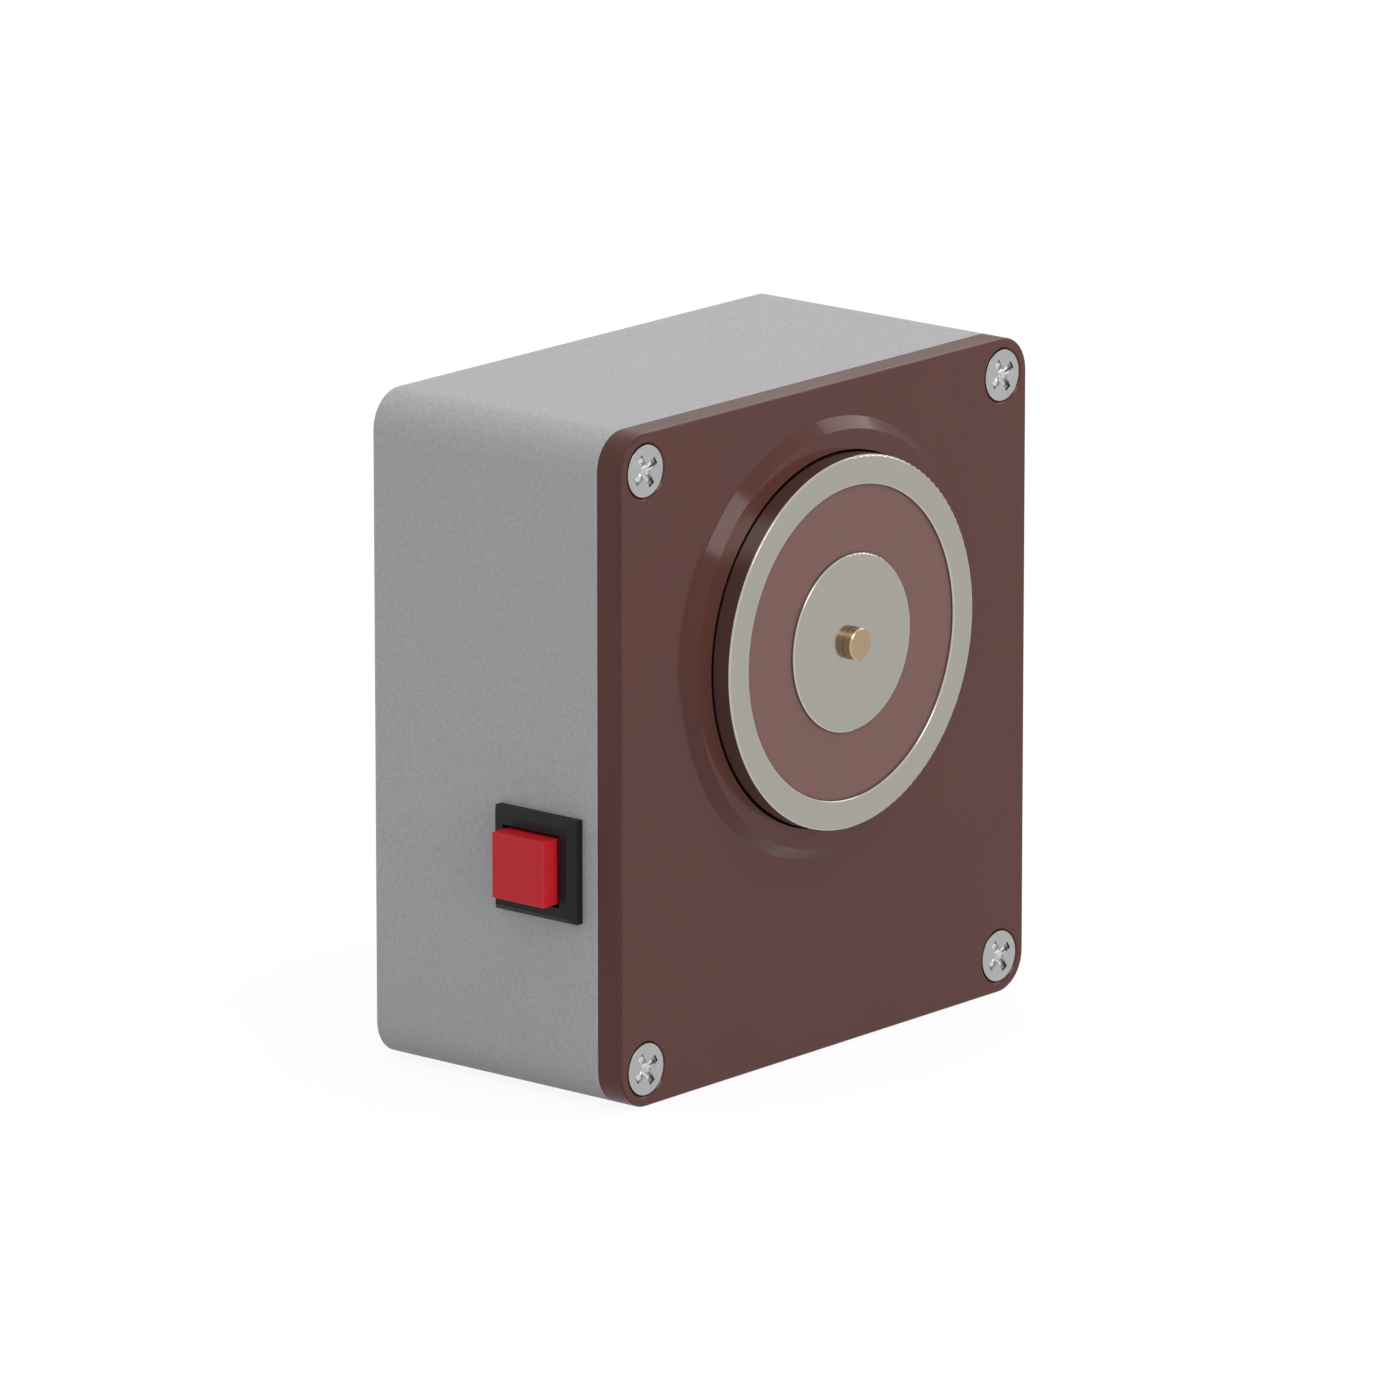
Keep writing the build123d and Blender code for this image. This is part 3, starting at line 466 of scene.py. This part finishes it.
def screw_zinc_finish(name, colour, low, centre):
    """Zinc on cross-recess screws: streaks, painted light inside the cross, painted shade at its wing ends.
    """
    material, shade, inputs = new_finish(name, Metallic=1.0)
    streaks = shade.effect(drawn_streaks, Stretch=(1.0, 1.0, 0.06), Streak_Width=0.25)
    patches = shade.effect(slow_drift, Patch_Size=5.0, Seed=2.0)
    place = shade.parts(shade.place())
    across = shade.minus(shade.maths("ABSOLUTE", place[0]), centre.x)
    above = shade.minus(shade.maths("ABSOLUTE", place[2]), centre.z)
    radius = shade.maths("SQRT", shade.plus(shade.times(across, across), shade.times(above, above)))
    deep = shade.between(place[1], low.y + punch_edge, low.y + punch_deep)
    near_axis = shade.between(radius, punch_inner_radius, punch_outer_radius, start=1.0, end=0.0)
    painted_light_in_cross = shade.times(deep, near_axis)
    below_face = shade.between(place[1], low.y + tip_edge, low.y + tip_deep)
    far_out = shade.between(radius, tip_inner_radius, tip_outer_radius)
    painted_shade_tips = shade.times(below_face, far_out)
    body = shade.blend(streaks["Value"], tone(colour, 0.95), tone(colour, 1.04))
    body = shade.cover(body, patches["Value"], 0.4, tone(colour, 0.94))
    # Painted shade at the cross's wing ends, then painted light inside the cross.
    body = shade.cover(body, painted_shade_tips, 0.7, tone(colour, 0.4))
    body = shade.blend(painted_light_in_cross, body, cross_painted_light)
    shade.feed(inputs["Base Color"], body)
    head_rough = 0.22
    punch_rough = 0.14
    head = shade.plus(shade.times(patches["Value"], 0.08), head_rough)
    rough = shade.plus(shade.times(head, shade.minus(1.0, painted_light_in_cross)), shade.times(painted_light_in_cross, punch_rough))
    shade.feed(inputs["Roughness"], rough)
    bump(shade, inputs, streaks["Height"], depth=0.003)
    return material


# Turned metal: how far behind its face its side begins, and how its rounded edge, which gets a
# painted highlight, is told by the way that it faces
face_end = 0.3 * MM
side_start = 0.5 * MM
edge_inner_facing = -0.98
edge_outer_facing = -0.9


def turned_metal(name, face, side, centre, face_stand, rough=0.13):
    """Lathe-turned metal: fine rings, a painted highlight on its rounded edge, a duller side behind it."""
    material, shade, inputs = new_finish(name, Metallic=1.0)
    marks = shade.effect(turned_marks, Centre=tuple(centre), Pitch=0.16)
    patches = shade.effect(slow_drift, Patch_Size=11.0, Seed=7.0)
    scratches = shade.effect(drawn_streaks, Stretch=(1.0, 1.0, 0.05), Streak_Width=0.5)
    depth_in = shade.parts(shade.place())[1]
    behind = shade.between(depth_in, face_end - face_stand, side_start - face_stand)
    rounded = shade.between(shade.normal()[1], edge_inner_facing, edge_outer_facing)
    edge = shade.times(rounded, shade.minus(1.0, behind))
    body = shade.blend(behind, face, side)
    body = shade.cover(body, marks["Value"], 0.22, tone(face, 0.82))
    body = shade.cover(body, patches["Value"], 0.12, tone(face, 1.12))
    # Painted highlight: the rounded front edge is given a brighter colour.
    body = shade.cover(body, edge, 0.3, tone(face, 2.0))
    shade.feed(inputs["Base Color"], body)
    worn = shade.weighed(patches["Value"], 0.06, scratches["Value"], 0.05)
    ringed = shade.weighed(marks["Value"], 0.06, behind, 0.07)
    shade.feed(inputs["Roughness"], shade.plus(worn, ringed, rough - 0.09))
    bump(shade, inputs, marks["Height"], depth=0.0012)
    return material


# Resin: the band of painted shade where it meets the ring and the core
outer_line_start = 0.55 * MM
outer_line_full = 0.1 * MM
inner_line_full = 0.1 * MM
inner_line_end = 0.5 * MM


def cast_resin(name, colour, centre, outer_radius, inner_radius):
    """Poured resin: a soft sheen, faint clouds, a few bubbles, painted shade where it meets metal."""
    material, shade, inputs = new_finish(name, IOR=1.4)
    clouds = shade.effect(slow_drift, Patch_Size=8.0, Seed=4.0)
    grain = shade.effect(fine_grain, Grain_Size=0.5, Contrast=0.6)
    bubbles = shade.effect(dust, Spacing=4.0, Share=0.25, Speck_Size=0.2)
    radius = shade.from_axis(tuple(centre))
    outer = shade.between(radius, outer_radius - outer_line_start, outer_radius - outer_line_full,
                          smooth=True)
    inner = shade.between(radius, inner_radius + inner_line_full, inner_radius + inner_line_end,
                          start=1.0, end=0.0, smooth=True)
    painted_shade_at_metal = shade.maths("MAXIMUM", outer, inner)
    body = shade.blend(clouds["Value"], tone(colour, 0.96), tone(colour, 1.04))
    body = shade.cover(body, grain["Value"], 0.25, tone(colour, 1.12))
    body = shade.cover(body, bubbles["Mask"], 0.5, tone(colour, 0.6))
    # Painted shade where the recessed resin meets the ring and the core.
    body = shade.cover(body, painted_shade_at_metal, 0.35, tone(colour, 0.5))
    shade.feed(inputs["Base Color"], body)
    shade.feed(inputs["Roughness"], shade.between(clouds["Value"], 0.0, 1.0, start=0.3, end=0.42))
    height = shade.minus(shade.times(grain["Height"], 0.2), bubbles["Mask"])
    bump(shade, inputs, height, depth=0.02)
    return material


copper_dark = (0.36, 0.1, 0.025)
copper_bright = (0.5, 0.17, 0.05)
copper_shade = (0.28, 0.07, 0.02)


def enamelled_copper(name):
    """Wound copper wire under clear enamel."""
    material, shade, inputs = new_finish(name, Metallic=0.85, Coat_Weight=0.6, Coat_Roughness=0.12)
    streaks = shade.effect(drawn_streaks, Stretch=(1.0, 3.0, 1.0), Streak_Width=0.9)
    patches = shade.effect(slow_drift, Patch_Size=6.0, Seed=9.0)
    body = shade.blend(streaks["Value"], copper_dark, copper_bright)
    body = shade.cover(body, patches["Value"], 0.4, copper_shade)
    shade.feed(inputs["Base Color"], body)
    shade.feed(inputs["Roughness"], shade.between(streaks["Value"], 0.0, 1.0, start=0.25, end=0.38))
    bump(shade, inputs, streaks["Height"], depth=0.01)
    return material


# Circuit board: its colours, and its tracks that run up and down between two bare margins
lacquer_dark = (0.006, 0.07, 0.02)
lacquer_light = (0.012, 0.105, 0.035)
track_green = (0.03, 0.17, 0.045)
cut_edge = (0.3, 0.33, 0.16)
track_pitch = 3.1 * MM
track_half_width = 0.8 * MM
track_foot = 0.95 * MM
low_margin = 1.5 * MM
high_margin = 6.0 * MM
margin_softness = 0.2 * MM
shift_past_zero = 1.0


def board_laminate(name, low, high):
    """Green lacquered circuit board: copper tracks under the lacquer and pale cut edges."""
    material, shade, inputs = new_finish(name, IOR=1.5)
    weave = shade.effect(drawn_streaks, Stretch=(1.0, 1.0, 0.15), Streak_Width=0.7)
    cross = shade.effect(drawn_streaks, Stretch=(0.15, 1.0, 1.0), Streak_Width=0.7)
    fibres = shade.times(shade.plus(weave["Value"], cross["Value"]), 0.5)
    body = shade.blend(fibres, lacquer_dark, lacquer_light)
    place = shade.parts(shade.place())
    across = shade.maths("PINGPONG", shade.plus(place[0], shift_past_zero), track_pitch)
    track = shade.between(across, track_half_width, track_foot, start=1.0, end=0.0)
    track_low = low.z + low_margin
    track_high = high.z - high_margin
    above_low = shade.between(place[2], track_low, track_low + margin_softness)
    below_high = shade.between(place[2], track_high, track_high + margin_softness, start=1.0, end=0.0)
    inside = shade.times(above_low, below_high)
    body = shade.cover(body, track, inside, track_green)
    body = shade.blend(rubbed_edges(shade, low, high, width=0.3), body, cut_edge)
    shade.feed(inputs["Base Color"], body)
    shade.feed(inputs["Roughness"], shade.between(fibres, 0.0, 1.0, start=0.24, end=0.36))
    bump(shade, inputs, shade.plus(track, fibres), depth=0.015)
    return material


# Diode: its colours, and where along it the ring and the leads begin
diode_black = (0.006, 0.006, 0.006)
diode_grey = (0.016, 0.016, 0.017)
ring_grey = (0.45, 0.45, 0.46)
lead_tin = (0.55, 0.55, 0.53)
ring_start = 1.2 * MM
ring_end = 2.0 * MM
lead_start = 2.62 * MM


def banded_diode(name, low, high):
    """Black moulded diode with a pale ring at one end and tinned leads."""
    material, shade, inputs = new_finish(name, IOR=1.5)
    middle = (low + high) / 2
    from_middle = shade.minus(shade.parts(shade.place())[0], middle.x)
    past_start = shade.maths("GREATER_THAN", from_middle, ring_start)
    before_end = shade.maths("LESS_THAN", from_middle, ring_end)
    band = shade.times(past_start, before_end)
    lead = shade.maths("GREATER_THAN", shade.maths("ABSOLUTE", from_middle), lead_start)
    grain = shade.effect(fine_grain, Grain_Size=0.2, Contrast=0.5)
    body = shade.blend(grain["Value"], diode_black, diode_grey)
    body = shade.blend(band, body, ring_grey)
    body = shade.blend(lead, body, lead_tin)
    shade.feed(inputs["Base Color"], body)
    shade.feed(inputs["Metallic"], lead)
    shade.feed(inputs["Roughness"], shade.between(grain["Value"], 0.0, 1.0, start=0.32, end=0.45))
    bump(shade, inputs, grain["Height"], depth=0.006)
    return material


def dress(node, material):
    """Gives a node of the model its finish."""
    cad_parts[node].material_slots[0].material = material


# Finishes of the outside
case_grey = (0.45, 0.45, 0.452)
plate_brown = (0.093, 0.0245, 0.0178)
pole_nickel = (0.374, 0.361, 0.328)
# The side's nickel is tinted warm: a painted reflection of the brown plate round it.
side_nickel_painted_reflection = (0.46, 0.41, 0.375)
resin_brown = (0.179, 0.085, 0.0735)
pin_brass = (0.41, 0.30, 0.19)
screw_zinc = (0.47, 0.47, 0.47)
cap_red = (0.63, 0.017, 0.026)
bezel_black = (0.013, 0.013, 0.0133)

dress("housing", powder_coat("housing powder coat", case_grey, case_low, case_high))
dress("front_plate", gloss_moulding("plate brown gloss", plate_brown, plate_low, plate_high))
dress("cover_screws", screw_zinc_finish("cover screw zinc", tone(screw_zinc, 0.9), screw_low, screw_centre))
dress("magnet_body", turned_metal("magnet nickel", pole_nickel, side_nickel_painted_reflection, pot_centre, pole_stand))
dress("potting_resin", cast_resin("coil resin", resin_brown, pot_centre, resin_radius, core_radius))
dress("ejector_pin", turned_metal("pin brass", pin_brass, pin_brass, pot_centre, pin_stand, rough=0.3))
dress("switch_body", worn_moulding("bezel black", bezel_black, bezel_low, bezel_high, rough=0.38, ior=1.28))
dress("button_cap", worn_moulding("cap red", cap_red, cap_low, cap_high, rough=0.34, ior=1.33))

# Finishes of what is inside
zinc_grey = (0.44, 0.445, 0.45)
black_oxide = (0.04, 0.04, 0.042)
spring_grey = (0.42, 0.42, 0.43)
contact_brass = (0.55, 0.4, 0.14)
clamp_nickel = (0.5, 0.49, 0.45)
nylon_cream = (0.75, 0.7, 0.58)
acetal_white = (0.72, 0.7, 0.64)
terminal_green = (0.02, 0.14, 0.07)
rubber_black = (0.012, 0.012, 0.012)
cover_black = (0.018, 0.018, 0.018)

inner_finishes = {
    "coil_bobbin": matt_moulding("bobbin nylon", nylon_cream, rough=0.4),
    "coil_winding": enamelled_copper("winding copper"),
    "ejector_spring": plated_steel("ejector spring wire", spring_grey, rough=0.28, width=0.1),
    "spring_plug": plated_steel("plug zinc", zinc_grey, rough=0.34),
    "carrier_plate": plated_steel("carrier zinc", zinc_grey, rough=0.38, width=0.5),
    "carrier_screws": plated_steel("carrier screw zinc", screw_zinc),
    "carrier_washers": plated_steel("carrier washer zinc", zinc_grey),
    "magnet_screws": plated_steel("magnet screw black", black_oxide, rough=0.45),
    "magnet_washers": plated_steel("magnet washer black", tone(black_oxide, 1.6), rough=0.42),
    "circuit_board": board_laminate("board green", *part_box("circuit_board")),
    "board_screws": plated_steel("board screw zinc", screw_zinc),
    "terminal_body": matt_moulding("terminal green", terminal_green, rough=0.4),
    "terminal_clamps": plated_steel("clamp nickel", clamp_nickel, rough=0.26),
    "terminal_screws": plated_steel("terminal screw zinc", screw_zinc),
    "suppression_diode": banded_diode("diode black", *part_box("suppression_diode")),
    "cable_grommet": matt_moulding("grommet rubber", rubber_black, rough=0.62, grain=0.5),
    "switch_plunger": matt_moulding("plunger acetal", acetal_white, rough=0.35),
    "return_spring": plated_steel("return spring wire", spring_grey, rough=0.28, width=0.1),
    "contact_bridge": plated_steel("bridge brass", contact_brass, rough=0.25, stretch=(1.0, 0.08, 1.0)),
    "fixed_contacts": plated_steel("contact brass", contact_brass, rough=0.28, stretch=(0.08, 1.0, 1.0)),
    "switch_end_cover": matt_moulding("end cover black", cover_black, rough=0.45),
}

# Finishes of the leads
lead_colours = {
    "coil_lead_one": ("lead red", (0.34, 0.012, 0.01)),
    "coil_lead_two": ("lead black", (0.012, 0.012, 0.012)),
    "switch_lead_one": ("lead yellow", (0.6, 0.48, 0.02)),
    "switch_lead_two": ("lead white", (0.7, 0.7, 0.66)),
}
for lead_name, (finish_name, lead_colour) in lead_colours.items():
    inner_finishes[lead_name] = matt_moulding(finish_name, lead_colour, rough=0.42, grain=0.8)

for node_name, node_finish in inner_finishes.items():
    dress(node_name, node_finish)


def new_piece(name, corners, faces, node, body):
    """A mesh piece that stands for one node of the model and rides on its body."""
    mesh = bpy.data.meshes.new(name)
    mesh.from_pydata(corners, [], faces)
    form = bmesh.new()
    form.from_mesh(mesh)
    bmesh.ops.recalc_face_normals(form, faces=form.faces)
    form.to_mesh(mesh)
    form.free()
    mesh.shade_smooth()
    mesh.materials.append(inner_finishes[node])
    piece = bpy.data.objects.new(name, mesh)
    bpy.context.scene.collection.objects.link(piece)
    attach(piece, body)
    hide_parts(node)
    return piece


def strip_of_rings(rings, closed):
    """Faces that join rings of corners, with the two ends capped or joined to each other."""
    count = len(rings[0])
    corners = [corner for ring in rings for corner in ring]
    faces = []
    last = len(rings) if closed else len(rings) - 1
    for k in range(last):
        start = k * count
        end = (k + 1) % len(rings) * count
        for j in range(count):
            beside = (j + 1) % count
            faces.append((start + j, start + beside, end + beside, end + j))
    if not closed:
        faces.append(tuple(range(count)))
        faces.append(tuple(range(len(corners) - count, len(corners))))
    return corners, faces


# Wire springs: closed end turns, ground flat
spring_turns = 5.5
spring_closed_turns = 0.8
spring_steps = 40
spring_smoothing_steps = spring_steps // 5
wire_sides = 14
ground_share = 0.4
closed_share = 1.9


def spring_rise(turn, wire_radius, length):
    """How far along the spring the wire's middle has come after a number of turns."""
    first = wire_radius * ground_share
    second = wire_radius * closed_share
    if turn < spring_closed_turns:
        return first + (second - first) * turn / spring_closed_turns
    if turn > spring_turns - spring_closed_turns:
        left = (spring_turns - turn) / spring_closed_turns
        return length - first - (second - first) * left
    share = (turn - spring_closed_turns) / (spring_turns - 2 * spring_closed_turns)
    return second + (length - 2 * second) * share


def wound_spring(name, node, foot, axis, coil_radius, wire_radius, length):
    """A compression spring wound round an axis from its foot, in the node's place."""
    along = Vector(axis)
    side = along.orthogonal().normalized()
    other = along.cross(side)
    steps = int(spring_turns * spring_steps)
    window = spring_smoothing_steps
    rise = [spring_rise(k * spring_turns / steps, wire_radius, length) for k in range(steps + 1)]
    rings = []
    for k in range(steps + 1):
        near = rise[max(0, k - window):min(steps, k + window) + 1]
        middle = sum(near) / len(near)
        angle = 2 * math.pi * k * spring_turns / steps
        outward = side * math.cos(angle) + other * math.sin(angle)
        ring = []
        for j in range(wire_sides):
            round_wire = 2 * math.pi * j / wire_sides
            reach = coil_radius + wire_radius * math.cos(round_wire)
            height = min(length, max(0.0, middle + wire_radius * math.sin(round_wire)))
            ring.append(foot + outward * reach + along * height)
        rings.append(ring)
    corners, faces = strip_of_rings(rings, closed=False)
    return new_piece(name, corners, faces, node, "holder")


ejector_wire = 0.4 * MM
return_wire = 0.25 * MM
ejector_low, ejector_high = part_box("ejector_spring")
return_low, return_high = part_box("return_spring")
ejector_length = ejector_high.y - ejector_low.y
return_length = return_high.x - return_low.x
ejector_foot = Vector((pot_centre.x, ejector_high.y, pot_centre.z))
return_foot = Vector((return_high.x, *((return_low + return_high) / 2).yz))

ejector_coil = wound_spring(
    "ejector_spring_coil", "ejector_spring", ejector_foot, (0.0, -1.0, 0.0),
    (ejector_high.x - ejector_low.x) / 2 - ejector_wire, ejector_wire, ejector_length,
)
return_coil = wound_spring(
    "return_spring_coil", "return_spring", return_foot, (-1.0, 0.0, 0.0),
    (return_high.z - return_low.z) / 2 - return_wire, return_wire, return_length,
)
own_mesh(ejector_coil)
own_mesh(return_coil)


# Coil: each ridge on the outside of the winding is one turn of its outer layer
turn_pitch = 0.55 * MM
turn_bulge = 0.12 * MM
ridge_steps = 6
winding_sides = 160


def ridged_winding():
    """The wound copper between the bobbin's flanges."""
    marks = [corner.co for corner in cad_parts["coil_winding"].data.vertices]
    radii = [math.hypot(mark.x - pot_centre.x, mark.z - pot_centre.z) for mark in marks]
    inner = min(radii)
    outer = max(radii)
    near, far = winding_low.y, winding_high.y
    turns = round((far - near) / turn_pitch)
    profile = [(inner, far), (inner, near)]
    for k in range(turns * ridge_steps + 1):
        swell = abs(math.sin(math.pi * k / ridge_steps))
        profile.append((outer - turn_bulge * (1 - swell), near + (far - near) * k / (turns * ridge_steps)))
    rings = []
    for k in range(winding_sides):
        angle = 2 * math.pi * k / winding_sides
        rings.append([
            Vector((pot_centre.x + radius * math.cos(angle), y, pot_centre.z + radius * math.sin(angle)))
            for radius, y in profile
        ])
    corners, faces = strip_of_rings(rings, closed=True)
    new_piece("coil_turns", corners, faces, "coil_winding", "holder")


ridged_winding()


# Floor, background and light
background_white = 1.0
ambient_level = 0.61
floor_half = 6.0
floor_gap = 0.1 * MM
floor_shown_tone = 0.13
floor_shown_glow = 0.9
floor_bounce_tone = 0.6


def seen_directly(shade):
    """One for rays from the camera and for those that metal and glass send on."""
    rays = shade.put("ShaderNodeLightPath").outputs
    mirrored = shade.maths("MAXIMUM", rays["Is Glossy Ray"], rays["Is Transmission Ray"])
    return shade.maths("MAXIMUM", rays["Is Camera Ray"], mirrored)


def make_world():
    """White where it is seen directly or mirrored, and dimmer as the light that falls on things."""
    world = bpy.data.worlds.new("studio")
    bpy.context.scene.world = world
    world.use_nodes = True
    world.node_tree.nodes.clear()
    shade = Shading(world.node_tree)
    strength = shade.between(seen_directly(shade), 0.0, 1.0, ambient_level, background_white)
    sky = shade.put("ShaderNodeBackground", {"Color": WHITE, "Strength": strength})
    shade.put("ShaderNodeOutputWorld", {"Surface": sky.outputs[0]})


def make_floor():
    """A floor just under the housing that shows as white with the object's shadow on it."""
    mesh = bpy.data.meshes.new("floor")
    level = case_low.z - floor_gap
    rim = [(x * floor_half, y * floor_half, level) for x, y in ((-1, -1), (1, -1), (1, 1), (-1, 1))]
    mesh.from_pydata(rim, [], [(0, 1, 2, 3)])
    floor = bpy.data.objects.new("floor", mesh)
    bpy.context.scene.collection.objects.link(floor)
    material = bpy.data.materials.new("floor pale")
    material.use_nodes = True
    material.node_tree.nodes.clear()
    shade = Shading(material.node_tree)
    shown = seen_directly(shade)
    tint = shade.between(shown, 0.0, 1.0, floor_bounce_tone, floor_shown_tone)
    colour = shade.put("ShaderNodeCombineColor", {"Red": tint, "Green": tint, "Blue": tint}).outputs[0]
    dull = shade.put("ShaderNodeBsdfDiffuse", {"Color": colour})
    glow = shade.put("ShaderNodeEmission", {"Color": WHITE, "Strength": shade.times(shown, floor_shown_glow)})
    both = shade.put("ShaderNodeAddShader")
    shade.feed(both.inputs[0], dull.outputs[0])
    shade.feed(both.inputs[1], glow.outputs[0])
    shade.put("ShaderNodeOutputMaterial", {"Surface": both.outputs[0]})
    mesh.materials.append(material)


def make_lamp(name, direction, distance, size, level, mirrored=False, lights=True):
    """A soft round lamp; level is what a white face turned to it would show."""
    data = bpy.data.lights.new(name, "AREA")
    data.shape = "DISK"
    data.size = size
    data.energy = level * (math.pi * distance) ** 2
    lamp = bpy.data.objects.new(name, data)
    bpy.context.scene.collection.objects.link(lamp)
    lamp.visible_glossy = mirrored
    lamp.visible_diffuse = lights
    aim = Vector(direction).normalized()
    lamp.location = aim * distance
    lamp.rotation_euler = aim.to_track_quat("Z", "Y").to_euler()


def make_camera():
    """The camera at the photograph's angle."""
    data = bpy.data.cameras.new("camera")
    data.sensor_width = view_sensor
    data.lens = view_lens
    data.clip_end = view_far_end
    camera = bpy.data.objects.new("camera", data)
    bpy.context.scene.collection.objects.link(camera)
    back = Vector((
        math.sin(view_turn) * math.cos(view_rise),
        -math.cos(view_turn) * math.cos(view_rise),
        math.sin(view_rise),
    ))
    camera.location = view_aim + back * view_distance
    camera.rotation_euler = back.to_track_quat("Z", "Y").to_euler()
    bpy.context.scene.camera = camera


make_world()
make_floor()

# The glint lamp only shows as a highlight, and the side lamp both lights and shows
make_lamp("glint lamp", (-0.245, -0.711, 0.66), distance=3.0, size=1.3, level=0.16,
          mirrored=True, lights=False)
make_lamp("side lamp", (0.82, -0.17, 0.54), distance=3.0, size=1.43, level=0.08, mirrored=True)
make_lamp("front lamp", (-0.1, -0.99, 0.0), distance=3.2, size=3.0, level=0.543)
make_lamp("top lamp", (0.2, -0.42, 0.87), distance=3.2, size=2.9, level=0.26)
make_lamp("back lamp", (-0.1, 0.5, 0.86), distance=3.2, size=3.0, level=0.045)
make_camera()
bpy.context.scene.view_settings.view_transform = "Standard"
